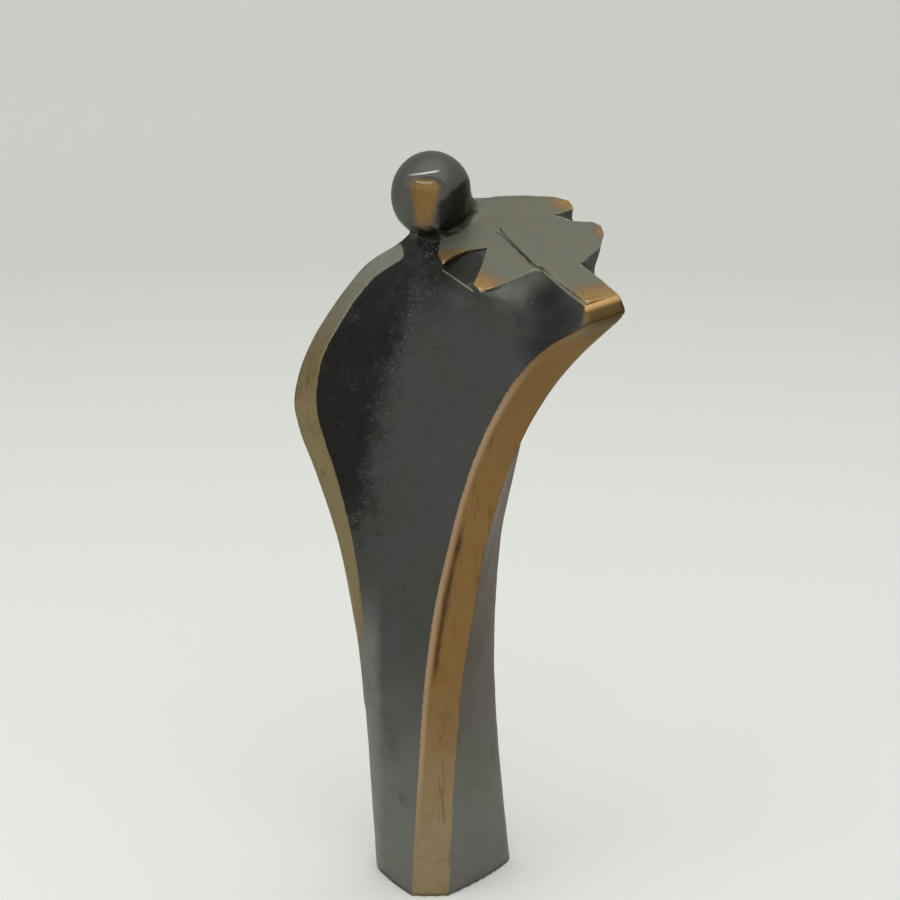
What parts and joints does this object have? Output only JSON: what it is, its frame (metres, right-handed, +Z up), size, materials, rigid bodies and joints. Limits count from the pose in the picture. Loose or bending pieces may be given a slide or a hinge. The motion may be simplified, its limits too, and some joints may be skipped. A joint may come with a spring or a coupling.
{
  "type": "abstract bronze violinist figurine",
  "caption": "Slender abstract bronze violinist: a twisting three-sided column with a ball head and a slanted violin-shaped top, standing on its flat underside.",
  "frame": {"origin": "on the flat underside, below the middle of the column", "axes": "+Z up, the polished front band of the base faces -Y, +X is the viewer's right, towards the violin's scroll end"},
  "size_m": [0.0984, 0.0588, 0.2394],
  "materials": {
    "patinated_bronze": "dark brown-black patina with ground and polished golden edges, satin to semi-gloss"
  },
  "bodies": {
    "root": {"violinist_casting": "patinated_bronze"}
  },
  "joints": []
}
